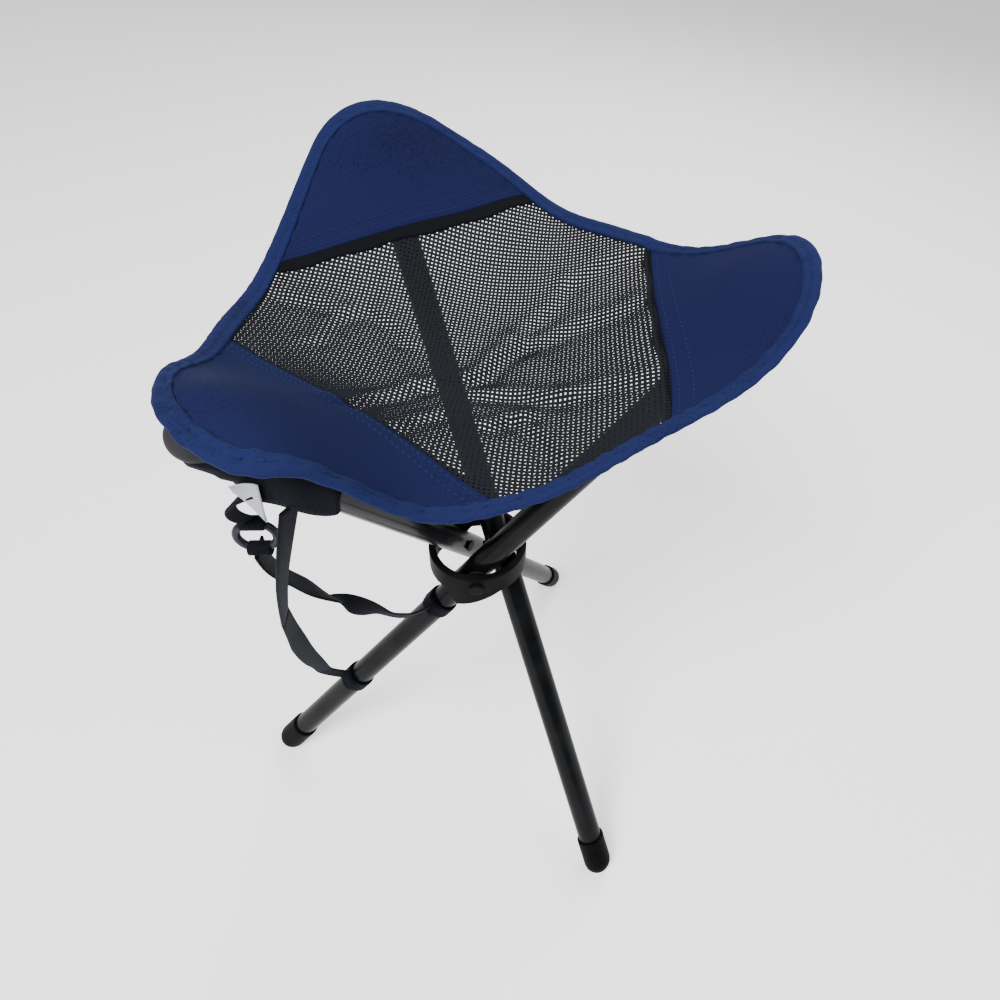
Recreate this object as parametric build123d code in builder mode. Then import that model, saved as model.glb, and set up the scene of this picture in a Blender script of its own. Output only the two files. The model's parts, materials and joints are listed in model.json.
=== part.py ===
"""Folding three-legged camp stool, modelled open and standing on its three feet.

Three tubes cross inside a moulded hub ring and turn on radial rivets. Each tube carries a foot at its
lower end and one corner of a three-cornered fabric seat at its upper end. Two webbing straps hang
from the seat's front left corner to the tube of the right corner.

Millimetres and degrees, +Z up, +Y towards the back corner. The origin is on the floor, at the centre
of the stool's bounding box.
"""

from math import atan2, cos, degrees, exp, hypot, pi, radians, sin, tan
import os

from build123d import *

# Legs
leg_tilt = 35.0
tube_d = 16.0
tube_wall = 1.2
leg_lower = 252.5
leg_upper = 246.0
pivot_circle_share = 1.825
pivot_azimuths = {"right": -90.0, "back": 30.0, "left": 150.0}

# Foot caps and top caps: cups pushed over the tube's ends, each with a domed end
foot_cap_wall = 1.5
foot_cap_skirt = 20.0
foot_center_height = 9.0
top_cap_wall = 1.2
top_cap_skirt = 16.0
cap_end_wall = 3.0
cap_lip_fillet = 0.8

# Hub ring
hub_wall = 4.5
hub_above_pivot = 8.0
hub_below_pivot = 7.5
hub_rim_fillet = 1.2
tooth_tip_drop = 19.0
tooth_tip_offset = 12.5
tooth_left_width = 7.0
tooth_right_width = 27.0
leg_groove_clearance = 0.9

# Pivots
rivet_d = 5.0
rivet_running_clearance = 0.05
rivet_head_r = 4.6
rivet_head_height = 2.0
rivet_head_fillet = 1.2
rivet_tail_height = 1.4
rivet_tail_r = 3.6
washer_r = 6.5
washer_thickness = 1.2
washer_gap = 0.1
boss_r = 7.0
boss_length = 2.0

# Seat fabric
corner_overhang = 10.15
corner_r = 50.0
edge_share = 0.737
fabric_thickness = 2.0
binding_width = 8.0
seam_share = 0.5526
seam_tape_width = 12.0
fabric_gap = 0.3
seat_over_pocket = 5.6
sheet_dish = 0.00183
sheet_grid_steps = 14
corner_rise = 31.0
corner_rise_spread = 60.0

# Leg pockets under the seat's corners
pocket_wall = 1.4
pocket_gap = 0.3
pocket_skirt = 26.0

# Straps
strap_width = 10.0
strap_bend_share = 0.45
strap_tab_size = (34.0, 2.0)
strap_tab_beside_corner = 28.3
strap_tab_inset = 18.5
strap_tab_lift = 27.0
strap_tab_twist = 109.3
strap_loop_gap = 0.2
strap_loop_wall = 1.6
carry_loop_below_pivot = 150.0
closure_loop_below_pivot = 42.0
ring_from_tab = (-23.8, 19.0, -36.9)
ring_r = 7.5
ring_wire_r = 1.6
ring_tab_thickness = 1.6
ring_tab_start_from_tab = (-11.5, 3.5, 2.0)
ring_tab_end_from_tab = (-22.6, 17.7, -29.5)
label_size = (10.0, 0.6, 18.0)
label_from_tab = (-14.0, 0.4, 1.0)

# Strap routes, from the seat's edge down to the right leg
carry_upper_route = [
    (-54.8, -130.0, 393.6),
    (-58.0, -130.0, 381.2),
    (-63.9, -126.0, 359.3),
    (-72.8, -116.0, 326.9),
    (-83.6, -98.0, 282.9),
]
carry_lower_route = [
    (-83.9, -97.3, 281.1),
    (-92.4, -76.0, 227.3),
    (-97.5, -57.0, 180.0),
    (-101.0, -38.0, 138.0),
    (-103.8, -25.5, 109.0),
    (-91.9, -21.4, 98.1),
]
closure_upper_route = [
    (-78.6, -110.6, 348.6),
    (-80.2, -106.0, 334.5),
    (-80.5, -97.0, 315.0),
    (-75.9, -86.0, 289.6),
    (-68.5, -73.0, 260.6),
]
closure_lower_route = [
    (-68.0, -72.3, 259.0),
    (-57.0, -60.0, 232.5),
    (-46.5, -49.0, 209.5),
    (-37.1, -37.5, 191.6),
    (-27.9, -26.2, 185.1),
]

# Places worked out from the sizes above
tube_r = tube_d / 2
pivot_circle_r = pivot_circle_share * tube_r
foot_cap_r = tube_r + foot_cap_wall
top_cap_r = tube_r + top_cap_wall
washer_outer_face = pivot_circle_r + tube_r + washer_gap + washer_thickness
hub_inner_r = washer_outer_face + washer_gap + boss_length
hub_outer_r = hub_inner_r + hub_wall

top_spread = leg_upper * sin(radians(leg_tilt))
foot_spread = leg_lower * sin(radians(leg_tilt))
top_reach = hypot(top_spread, pivot_circle_r)
foot_reach = hypot(foot_spread, pivot_circle_r)
leg_azimuth_gap = degrees(atan2(top_spread, pivot_circle_r))
foot_azimuth = pivot_azimuths["right"] - degrees(atan2(foot_spread, pivot_circle_r))
corner_azimuths = {name: azimuth + leg_azimuth_gap for name, azimuth in pivot_azimuths.items()}
pivot_height = leg_lower * cos(radians(leg_tilt)) + foot_center_height
top_center_height = pivot_height + leg_upper * cos(radians(leg_tilt))

corner_reach = top_reach + corner_overhang
corner_arc_center = corner_reach - corner_r
edge_reach = edge_share * corner_reach
seam_reach = seam_share * corner_reach
pocket_bore = top_cap_r + pocket_gap
seat_top_height = top_center_height + pocket_bore + pocket_wall + seat_over_pocket
sheet_center_height = seat_top_height - sheet_dish * top_reach**2 - corner_rise

right_extent = corner_arc_center * cos(radians(corner_azimuths["right"])) + corner_r
left_extent = foot_reach * cos(radians(foot_azimuth)) - foot_cap_r
back_extent = corner_arc_center * sin(radians(corner_azimuths["back"])) + corner_r
front_extent = corner_arc_center * sin(radians(corner_azimuths["left"])) - corner_r
hub_x = -(right_extent + left_extent) / 2
hub_y = -(back_extent + front_extent) / 2


def radial(azimuth):
    """Unit vector that points outward from the hub's axis."""
    return Vector(cos(radians(azimuth)), sin(radians(azimuth)), 0)


def leg_direction(name):
    """Unit vector along a leg, from its foot to its top."""
    azimuth = pivot_azimuths[name]
    sideways = radial(azimuth + 90)
    return sideways * sin(radians(leg_tilt)) + Vector(0, 0, cos(radians(leg_tilt)))


def on_leg(name, distance):
    """Point on a leg's centreline, at a distance above its pivot."""
    pivot = Vector(hub_x, hub_y, pivot_height) + radial(pivot_azimuths[name]) * pivot_circle_r
    return pivot + leg_direction(name) * distance


def across_leg(name, distance):
    """Plane square to a leg, with its X axis pointing outward from the hub."""
    return Plane(
        origin=on_leg(name, distance),
        x_dir=radial(pivot_azimuths[name]),
        z_dir=leg_direction(name),
    )


def along_leg(name, distance, sense=1):
    """Plane that holds a leg's centreline as its Y axis, which runs up the leg, or down it at sense -1."""
    outward = radial(pivot_azimuths[name])
    return Plane(
        origin=on_leg(name, distance),
        x_dir=outward * sense,
        z_dir=outward.cross(leg_direction(name)),
    )


def at_pivot(name, reach):
    """Plane square to a pivot's pin, at a distance from the hub's axis, facing outward."""
    origin = Vector(hub_x, hub_y, pivot_height) + radial(pivot_azimuths[name]) * reach
    return Plane(origin=origin, x_dir=radial(pivot_azimuths[name] + 90), z_dir=radial(pivot_azimuths[name]))


def save(piece, name):
    """Label a finished piece and write it as one STEP file."""
    piece.part.label = name
    export_step(piece.part, f"parts/{name}.step")


def domed_cup(plane, outer_r, bore_r, skirt, end_wall):
    """Cup with a domed end. The plane's Y axis runs from the dome's centre towards the open mouth."""
    with BuildPart() as cup:
        with BuildSketch(plane):
            with BuildLine():
                Line((0, -outer_r), (0, end_wall))
                Line((0, end_wall), (bore_r, end_wall))
                Line((bore_r, end_wall), (bore_r, skirt))
                Line((bore_r, skirt), (outer_r - cap_lip_fillet, skirt))
                RadiusArc(
                    (outer_r - cap_lip_fillet, skirt),
                    (outer_r, skirt - cap_lip_fillet),
                    cap_lip_fillet,
                )
                Line((outer_r, skirt - cap_lip_fillet), (outer_r, 0))
                RadiusArc((outer_r, 0), (0, -outer_r), outer_r)
            make_face()
        revolve(axis=Axis(plane.origin, plane.y_dir))
    return cup


def seat_height(x, y):
    """Height of the seat's underside: a shallow dish that rises to the three leg tops."""
    height = sheet_center_height + sheet_dish * (x * x + y * y)
    for azimuth in corner_azimuths.values():
        top = radial(azimuth) * top_reach
        distance = hypot(x - top.X, y - top.Y)
        height += corner_rise * exp(-((distance / corner_rise_spread) ** 2))
    return height


def seat_surface(drop):
    """Surface that follows the seat's underside, lowered by a distance, larger than the seat's outline."""
    half = corner_reach + corner_r / 2
    stations = [half * (2 * index / sheet_grid_steps - 1) for index in range(sheet_grid_steps + 1)]
    grid = [[(hub_x + x, hub_y + y, seat_height(x, y) - drop) for y in stations] for x in stations]
    return Face.make_surface_from_array_of_points(grid)


def fabric_sheet(drop):
    """Sheet of fabric on the seat's surface, lowered by a distance."""
    with BuildPart() as sheet:
        thicken(seat_surface(drop), amount=fabric_thickness, normal_override=(0, 0, 1))
    return sheet.part


def seat_outline(inset):
    """Plan of the seat in a sketch: three round corners joined by long bowed edges."""
    reach = corner_arc_center
    corner = corner_r - inset
    edge = edge_reach - inset
    bow_offset = (reach**2 - (edge - corner) ** 2) / (2 * (edge - corner) - reach)
    bow_r = edge + bow_offset
    with BuildSketch(mode=Mode.PRIVATE) as outline:
        with BuildLine():
            for azimuth in corner_azimuths.values():
                center = radial(azimuth) * reach
                before = radial(azimuth - 60) * -bow_offset
                after = radial(azimuth + 60) * -bow_offset
                start = before + (center - before).normalized() * bow_r
                end = after + (center - after).normalized() * bow_r
                next_center = radial(azimuth + 120) * reach
                next_start = after + (next_center - after).normalized() * bow_r
                ThreePointArc(start, radial(azimuth) * (reach + corner), end)
                ThreePointArc(end, radial(azimuth + 60) * edge, next_start)
        make_face()
    return outline.sketch


def fabric_piece(sheet, plan):
    """Cut a plan shape out of a fabric sheet."""
    with BuildPart() as piece:
        with BuildSketch(Plane((hub_x, hub_y, sheet_center_height - corner_r))):
            add(plan)
        extrude(amount=4 * corner_r)
        add(sheet, mode=Mode.INTERSECT)
    return piece


def sector(azimuth, gap):
    """Third of the plan around one corner, kept a gap away from its two borders."""
    far = 3 * corner_reach
    half_width = far * tan(radians(60))
    tip = gap / sin(radians(60))
    with BuildSketch(mode=Mode.PRIVATE) as third:
        with BuildLine(Plane.XY.rotated((0, 0, azimuth))):
            Polyline((tip, 0), (tip + far, -half_width), (tip + far, half_width), close=True)
        make_face()
    return third.sketch


def strip(azimuth, inner, outer):
    """Band of the plan across one corner, between two distances from the hub's axis."""
    width = 4 * corner_reach
    with BuildSketch(Plane.XY.rotated((0, 0, azimuth)), mode=Mode.PRIVATE) as band:
        with Locations(((inner + outer) / 2, 0)):
            Rectangle(outer - inner, width)
    return band.sketch


def strap_tube(points):
    """Plain tube along a strap's route: straight runs joined by tangent arcs as large as the runs allow."""
    route = [Vector(point) for point in points]
    runs = [(end - start).length for start, end in zip(route, route[1:])]
    radii = []
    for index in range(1, len(route) - 1):
        turn = (route[index] - route[index - 1]).get_angle(route[index + 1] - route[index])
        radii.append(strap_bend_share * min(runs[index - 1], runs[index]) / tan(radians(turn / 2)))
    with BuildPart() as tube:
        with BuildLine() as path:
            FilletPolyline(*route, radius=radii)
        with BuildSketch(Plane(origin=route[0], z_dir=route[1] - route[0])):
            Circle(strap_width / 2)
        sweep()
    length = sum(edge.length for edge in path.edges())
    section = pi * (strap_width / 2) ** 2
    print("radii", [round(radius, 1) for radius in radii], "length", round(length, 1))
    print("volume over section times length", round(tube.part.volume / (section * length), 4))
    return tube


os.makedirs("parts", exist_ok=True)

# Legs: tube, foot cap, top cap, pivot rivet and washer, and the pocket that holds the leg's top
for name in pivot_azimuths:
    with BuildPart() as tube:
        with BuildSketch(across_leg(name, -leg_lower + cap_end_wall)):
            Circle(tube_r)
            Circle(tube_r - tube_wall, mode=Mode.SUBTRACT)
        extrude(amount=leg_lower + leg_upper - 2 * cap_end_wall)
        with BuildSketch(at_pivot(name, pivot_circle_r)):
            Circle(rivet_d / 2 + rivet_running_clearance)
        extrude(amount=tube_d, both=True, mode=Mode.SUBTRACT)
    save(tube, f"leg_tube_{name}")

    foot = domed_cup(along_leg(name, -leg_lower), foot_cap_r, tube_r, foot_cap_skirt, cap_end_wall)
    with BuildPart() as foot_cap:
        add(foot)
        split(bisect_by=Plane.XY, keep=Keep.TOP)
    save(foot_cap, f"foot_cap_{name}")

    down_leg = along_leg(name, leg_upper, sense=-1)
    save(domed_cup(down_leg, top_cap_r, tube_r, top_cap_skirt, cap_end_wall), f"leg_top_cap_{name}")

    with BuildPart() as pocket:
        with BuildSketch(down_leg):
            with BuildLine():
                Line((0, -pocket_bore - pocket_wall), (0, -pocket_bore))
                RadiusArc((0, -pocket_bore), (pocket_bore, 0), -pocket_bore)
                Line((pocket_bore, 0), (pocket_bore, pocket_skirt))
                Line((pocket_bore, pocket_skirt), (pocket_bore + pocket_wall, pocket_skirt))
                Line((pocket_bore + pocket_wall, pocket_skirt), (pocket_bore + pocket_wall, 0))
                RadiusArc(
                    (pocket_bore + pocket_wall, 0),
                    (0, -pocket_bore - pocket_wall),
                    pocket_bore + pocket_wall,
                )
            make_face()
        revolve(axis=Axis(down_leg.origin, down_leg.y_dir))
    save(pocket, f"leg_pocket_{name}")

    with BuildPart() as washer:
        with BuildSketch(at_pivot(name, washer_outer_face)):
            Circle(washer_r)
            Circle(rivet_d / 2 + rivet_running_clearance, mode=Mode.SUBTRACT)
        extrude(amount=-washer_thickness)
    save(washer, f"pivot_washer_{name}")

    tail_face = pivot_circle_r - tube_r - rivet_running_clearance
    with BuildPart() as rivet:
        with BuildSketch(at_pivot(name, tail_face)):
            Circle(rivet_d / 2)
        extrude(amount=hub_outer_r - tail_face)
        with BuildSketch(at_pivot(name, tail_face)):
            Circle(rivet_tail_r)
        extrude(amount=-rivet_tail_height)
        with BuildSketch(at_pivot(name, hub_outer_r)):
            Circle(rivet_head_r)
        extrude(amount=rivet_head_height)
        outward = Axis((hub_x, hub_y, pivot_height), radial(pivot_azimuths[name]))
        fillet(rivet.edges().filter_by(GeomType.CIRCLE).sort_by(outward)[-1], rivet_head_fillet)
    save(rivet, f"pivot_rivet_{name}")

# Hub ring: a wall with a boss and a toothed lower rim at each pivot, grooved where the legs lean out
with BuildPart() as tooth_prisms:
    for name in pivot_azimuths:
        with BuildSketch(at_pivot(name, 0)):
            with BuildLine():
                Polyline(
                    (-tooth_tip_offset, -tooth_tip_drop),
                    (-tooth_tip_offset + tooth_right_width, -hub_below_pivot),
                    (-tooth_tip_offset - tooth_left_width, -hub_below_pivot),
                    close=True,
                )
            make_face()
        extrude(amount=2 * hub_outer_r)

with BuildPart() as hub:
    with BuildSketch(Plane((hub_x, hub_y, pivot_height - tooth_tip_drop))):
        Circle(hub_outer_r)
        Circle(hub_inner_r, mode=Mode.SUBTRACT)
    extrude(amount=tooth_tip_drop)
    add(tooth_prisms.part, mode=Mode.INTERSECT)
    with BuildSketch(Plane((hub_x, hub_y, pivot_height - hub_below_pivot))):
        Circle(hub_outer_r)
        Circle(hub_inner_r, mode=Mode.SUBTRACT)
    extrude(amount=hub_below_pivot + hub_above_pivot)
    top_rims = hub.faces().sort_by(Axis.Z)[-1].edges()
    fillet(top_rims, hub_rim_fillet)
    for name in pivot_azimuths:
        with BuildSketch(at_pivot(name, washer_outer_face + washer_gap)):
            Circle(boss_r)
        extrude(amount=boss_length + hub_wall / 2)
        with BuildSketch(at_pivot(name, hub_inner_r - boss_r)):
            Circle(rivet_d / 2 + rivet_running_clearance)
        extrude(amount=hub_wall + boss_r, mode=Mode.SUBTRACT)
        with BuildSketch(across_leg(name, -2 * hub_outer_r)):
            Circle(tube_r + leg_groove_clearance)
        extrude(amount=4 * hub_outer_r, mode=Mode.SUBTRACT)
save(hub, "hub_ring")

# Seat: open mesh in the middle, a solid panel and an edge binding at each corner, taped seams
seat_sheet = fabric_sheet(0)
tape_sheet = fabric_sheet(2 * fabric_thickness)
inner_plan = seat_outline(binding_width + fabric_gap)

mesh_plan = inner_plan
for azimuth in corner_azimuths.values():
    mesh_plan = mesh_plan - strip(azimuth, seam_reach - fabric_gap, 2 * corner_reach)
save(fabric_piece(seat_sheet, mesh_plan), "mesh_panel")

for name, azimuth in corner_azimuths.items():
    own_third = sector(azimuth, fabric_gap)
    corner_plan = inner_plan & strip(azimuth, seam_reach + fabric_gap, 2 * corner_reach)
    save(fabric_piece(seat_sheet, corner_plan), f"corner_panel_{name}")

    binding_plan = (seat_outline(0) - seat_outline(binding_width)) & own_third
    save(fabric_piece(seat_sheet, binding_plan), f"edge_binding_{name}")

    tape_inner = seam_reach - seam_tape_width / 2
    tape_plan = inner_plan & strip(azimuth, tape_inner, tape_inner + seam_tape_width) & own_third
    save(fabric_piece(tape_sheet, tape_plan), f"seam_tape_{name}")

# Strap hardware: the tab under the seat's edge, the ring on its short tab, the label and the leg loops
tab_bottom = Vector(hub_x, hub_y, sheet_center_height + strap_tab_lift)
tab_bottom += radial(corner_azimuths["left"]) * (corner_reach - strap_tab_inset)
tab_bottom += radial(corner_azimuths["left"] + 90) * strap_tab_beside_corner
with BuildPart() as strap_tab:
    with Locations(Location(tab_bottom, (0, 0, corner_azimuths["left"] + strap_tab_twist))):
        Box(*strap_tab_size, 2 * corner_rise, align=(Align.CENTER, Align.CENTER, Align.MIN))
    split(bisect_by=seat_surface(fabric_gap), keep=Keep.BOTTOM)
save(strap_tab, "strap_tab")

ring_tab_start = tab_bottom + Vector(ring_tab_start_from_tab)
ring_tab_run = tab_bottom + Vector(ring_tab_end_from_tab) - ring_tab_start
with BuildPart() as ring_tab:
    with BuildSketch(Plane(origin=ring_tab_start, x_dir=(1, 0, 0), z_dir=ring_tab_run)):
        Rectangle(strap_width, ring_tab_thickness)
    extrude(amount=ring_tab_run.length)
save(ring_tab, "ring_tab")

ring_center = tab_bottom + Vector(ring_from_tab)
with BuildPart() as ring:
    with BuildSketch(Plane(ring_center)):
        with Locations((ring_r, 0)):
            Circle(ring_wire_r)
    revolve(axis=Axis(ring_center, (0, 1, 0)))
save(ring, "strap_ring")

with BuildPart() as label:
    with Locations(tab_bottom + Vector(label_from_tab)):
        Box(*label_size)
save(label, "care_label")

for strap, below in {"carry": carry_loop_below_pivot, "closure": closure_loop_below_pivot}.items():
    with BuildPart() as loop:
        with BuildSketch(across_leg("right", -below - strap_width / 2)):
            Circle(tube_r + strap_loop_gap + strap_loop_wall)
            Circle(tube_r + strap_loop_gap, mode=Mode.SUBTRACT)
        extrude(amount=strap_width)
    save(loop, f"{strap}_strap_loop")

# Straps
strap_routes = {
    "carry_strap_upper": carry_upper_route,
    "carry_strap_lower": carry_lower_route,
    "closure_strap_upper": closure_upper_route,
    "closure_strap_lower": closure_lower_route,
}
for name, points in strap_routes.items():
    save(strap_tube(points), name)

print("hub axis", round(hub_x, 3), round(hub_y, 3), "pivot height", round(pivot_height, 3))
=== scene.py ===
"""Camp stool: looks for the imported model. Metres, in the model's own frame, +Z up."""

import json
from math import atan2, cos, pi, radians, sin

import bpy
import numpy as np
from mathutils import Matrix, Vector


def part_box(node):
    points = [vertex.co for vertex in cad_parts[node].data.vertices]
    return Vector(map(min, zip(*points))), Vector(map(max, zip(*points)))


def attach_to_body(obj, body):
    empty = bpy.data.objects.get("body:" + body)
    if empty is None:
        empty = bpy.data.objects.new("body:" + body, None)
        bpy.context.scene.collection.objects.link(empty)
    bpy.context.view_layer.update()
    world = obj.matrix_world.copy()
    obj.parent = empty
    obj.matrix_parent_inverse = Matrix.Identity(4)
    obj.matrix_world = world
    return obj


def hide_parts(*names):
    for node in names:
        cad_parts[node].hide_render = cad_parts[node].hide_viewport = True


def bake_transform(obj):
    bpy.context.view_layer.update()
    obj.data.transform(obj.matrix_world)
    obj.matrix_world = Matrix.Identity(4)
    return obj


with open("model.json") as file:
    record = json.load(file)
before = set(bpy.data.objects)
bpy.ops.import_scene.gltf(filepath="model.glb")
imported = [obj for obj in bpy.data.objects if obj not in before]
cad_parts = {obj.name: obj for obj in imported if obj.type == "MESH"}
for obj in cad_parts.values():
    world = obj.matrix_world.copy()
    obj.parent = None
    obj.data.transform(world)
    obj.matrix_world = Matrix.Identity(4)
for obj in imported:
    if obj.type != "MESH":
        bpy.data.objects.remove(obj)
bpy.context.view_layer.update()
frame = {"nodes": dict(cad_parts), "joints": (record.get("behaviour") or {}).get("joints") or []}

MM = 0.001
CORNERS = ("right", "back", "left")


# ---------------------------------------------------------------- places taken from the frame


def box_center(node):
    low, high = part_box(node)
    return (low + high) / 2


joints = {joint["name"]: joint for joint in frame["joints"]}
pivots = {name: Vector(joints[f"leg_{name}_fold"]["pos_m"]) for name in CORNERS}
hub = sum(pivots.values(), Vector()) / 3
leg_tops = {name: box_center(f"leg_top_cap_{name}") for name in CORNERS}
leg_feet = {name: box_center(f"foot_cap_{name}") for name in CORNERS}
azimuths = {name: atan2(leg_tops[name].y - hub.y, leg_tops[name].x - hub.x) for name in CORNERS}
leg_axis = {name: (leg_tops[name] - leg_feet[name]).normalized() for name in CORNERS}

# ---------------------------------------------------------------- seat shape

CORNER_REACH = 152 * MM
CORNER_R = 50 * MM
EDGE_REACH = 112 * MM
SEAM_REACH = {"right": 92 * MM, "back": 91 * MM, "left": 84 * MM}
DISH_CENTER = 367.5 * MM
DISH = 1.83
CORNER_RISE = 31 * MM
RISE_SPREAD = 60 * MM
TOP_REACH = 142 * MM
BINDING = 8.5 * MM
# How far pieces reach under the binding: each ends this share of its width inside the seat's edge
MESH_TUCK = 0.45 * BINDING
PANEL_TUCK = 0.4 * BINDING
TAPE_TUCK = 0.5 * BINDING

# Where the slack edge lies off a regular shape: corner, degrees round from it, then millimetres outward,
# sideways and upward, and the reach along the edge and into the seat. Guided by a fit to the photo, rounded
PULLS = [
    ("right", -20, 11, 0, 0, 40, 45),
    ("right", 4, 1, 0, 2, 40, 45),
    ("right", 50, -3, 0, 10, 40, 45),
    ("back", -30, 7, 0, 9, 40, 45),
    ("back", 46, 4, 0, -11, 40, 45),
    ("left", -28, -4, 0, -4, 40, 45),
    ("left", -12, -4, 0, -7, 20, 16),
    ("left", 4, 1, 12, -15, 34, 15),
    ("left", 28, 1, 3, -15, 32, 26),
    ("left", 50, 5, 0, -6, 40, 45),
]


def rotated(angle, along, across):
    """Plan points from distances along and across the direction of an azimuth."""
    x = along * np.cos(angle) - across * np.sin(angle)
    y = along * np.sin(angle) + across * np.cos(angle)
    return x, y


def outline_reach(theta):
    """Distance from the hub's axis to the seat's edge, for an array of azimuths."""
    center = CORNER_REACH - CORNER_R
    step = EDGE_REACH - CORNER_R
    bow_offset = (center**2 - step**2) / (2 * step - center)
    bow_r = EDGE_REACH + bow_offset
    first = azimuths["right"]
    around = np.mod(theta - first + pi / 3, 2 * pi / 3) - pi / 3
    to_middle = pi / 3 - np.abs(around)
    bow_center = np.array([bow_offset * cos(pi / 3), bow_offset * sin(pi / 3)])
    meeting = np.array([center, 0]) + bow_center
    meeting = meeting / np.linalg.norm(meeting) * bow_r - bow_center
    limit = abs(atan2(meeting[1], meeting[0]))
    corner = center * np.cos(around) + np.sqrt(np.maximum(CORNER_R**2 - (center * np.sin(around)) ** 2, 0))
    dot = -bow_offset * np.cos(to_middle)
    bow = dot + np.sqrt(dot**2 - bow_offset**2 + bow_r**2)
    return np.where(np.abs(around) <= limit, corner, bow)


def edge_point(theta, inset):
    """Plan point inside the seat's edge, for arrays of azimuths and insets."""
    reach = outline_reach(theta) - inset
    return reach * np.cos(theta), reach * np.sin(theta)


# Sharp creases in the slack mesh, read through the fitted camera and rounded. Each runs from x, y to x, y,
# in millimetres from the hub's axis, and has a height and a width
CREASES = [
    (0, -20, 50, 50, 2.5, 7),
    (45, 50, 95, 60, 2, 7),
    (0, -20, 25, 10, 3, 6),
    (20, 10, 85, 20, 3, 7),
    (-5, -30, 45, -40, 3.5, 6),
    (40, -40, 80, -40, 2.5, 7),
    (-55, -70, -25, -30, 3, 6),
    (-25, -30, 0, -20, 3, 6),
    (-30, -75, -10, -50, 2.5, 5),
    (20, -50, 40, -85, 3, 5),
    (5, -60, 30, -50, 3, 5),
    (-75, -5, -60, 30, 2, 6),
    (-50, 30, -30, 5, 2.5, 5),
    (-95, 35, -60, 25, 2, 6),
]


SLOW_WAVE = 0.6 * MM
QUICK_WAVE = 0.8 * MM
QUICK_WAVE_END = 110 * MM


def wrinkles(x, y):
    """Creases and soft waves of the slack mesh, as a height."""
    right = azimuths["right"]
    along, across = rotated(-right, x, y)
    slow = np.sin(34 * along - 3) * np.sin(41 * across + 0.8)
    waves = np.sin(88 * along + 60 * across + 1.8 * np.sin(31 * across - 12 * along))
    middle = np.clip(1 - np.hypot(x, y) / QUICK_WAVE_END, 0, 1)
    height = SLOW_WAVE * slow + QUICK_WAVE * waves * np.sqrt(middle)
    for start_x, start_y, end_x, end_y, rise, width in CREASES:
        run_x, run_y = (end_x - start_x) * MM, (end_y - start_y) * MM
        run = np.hypot(run_x, run_y)
        share = ((x - start_x * MM) * run_x + (y - start_y * MM) * run_y) / run**2
        aside = ((y - start_y * MM) * run_x - (x - start_x * MM) * run_y) / run / (width * MM)
        aside = aside + 0.25 * np.sin(9 * share)
        fade = np.exp(-(np.maximum(0, np.abs(share - 0.5) - 0.42) ** 2) / 0.02)
        height = height + rise * MM * aside * np.exp(-(aside**2)) * fade
    return height


def seat_xyz(x, y, lift=0.0):
    """Points of the seat's cloth over plan points measured from the hub's axis."""
    x = np.asarray(x, float)
    y = np.asarray(y, float)

    def shape(px, py):
        z = DISH_CENTER + DISH * (px**2 + py**2)
        out_x = px.copy()
        out_y = py.copy()
        for name in CORNERS:
            top_x = TOP_REACH * cos(azimuths[name])
            top_y = TOP_REACH * sin(azimuths[name])
            z = z + CORNER_RISE * np.exp(-((px - top_x) ** 2 + (py - top_y) ** 2) / RISE_SPREAD**2)
        for name, turn, outward, sideways, upward, along_edge, into_seat in PULLS:
            angle = azimuths[name] + radians(turn)
            reach = float(outline_reach(np.array([angle]))[0])
            beside = -px * sin(angle) + py * cos(angle)
            ahead = px * cos(angle) + py * sin(angle)
            near = np.exp(-((beside / (along_edge * MM)) ** 2) - ((reach - ahead) / (into_seat * MM)) ** 2)
            out_x = out_x + MM * near * (outward * cos(angle) - sideways * sin(angle))
            out_y = out_y + MM * near * (outward * sin(angle) + sideways * cos(angle))
            z = z + upward * MM * near
        return np.stack([out_x + hub.x, out_y + hub.y, z + wrinkles(px, py)], -1)

    points = shape(x, y)
    step = 1 * MM
    along_x = shape(x + step, y) - shape(x - step, y)
    along_y = shape(x, y + step) - shape(x, y - step)
    normal = np.cross(along_x, along_y)
    normal /= np.linalg.norm(normal, axis=-1, keepdims=True)
    return points + normal * np.asarray(lift)[..., None]


def new_mesh(name, vertices, faces, material, smooth=True):
    data = bpy.data.meshes.new(name)
    data.from_pydata([tuple(v) for v in vertices], [], [tuple(int(i) for i in face) for face in faces])
    data.validate()
    data.materials.append(material)
    data.polygons.foreach_set("use_smooth", [smooth] * len(data.polygons))
    obj = bpy.data.objects.new(name, data)
    bpy.context.scene.collection.objects.link(obj)
    return obj


def grid_faces(rows, columns, offset=0, closed=False):
    faces = []
    for row in range(rows - 1):
        for column in range(columns if closed else columns - 1):
            following = (column + 1) % columns
            a = offset + row * columns + column
            b = offset + row * columns + following
            faces.append((a, b, b + columns, a + columns))
    return faces


def sheet_mesh(name, top, bottom, material):
    """Closed thin sheet between two grids of points of the same shape (rows, columns, 3)."""
    rows, columns = top.shape[:2]
    count = rows * columns
    faces = grid_faces(rows, columns)
    faces += [tuple(reversed(face)) for face in grid_faces(rows, columns, count)]
    border = list(range(columns))
    border += [row * columns + columns - 1 for row in range(1, rows)]
    border += [(rows - 1) * columns + column for column in range(columns - 2, -1, -1)]
    border += [row * columns for row in range(rows - 2, 0, -1)]
    for a, b in zip(border, border[1:] + border[:1]):
        faces.append((b, a, a + count, b + count))
    vertices = np.concatenate([top.reshape(-1, 3), bottom.reshape(-1, 3)])
    return new_mesh(name, vertices, faces, material)


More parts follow.
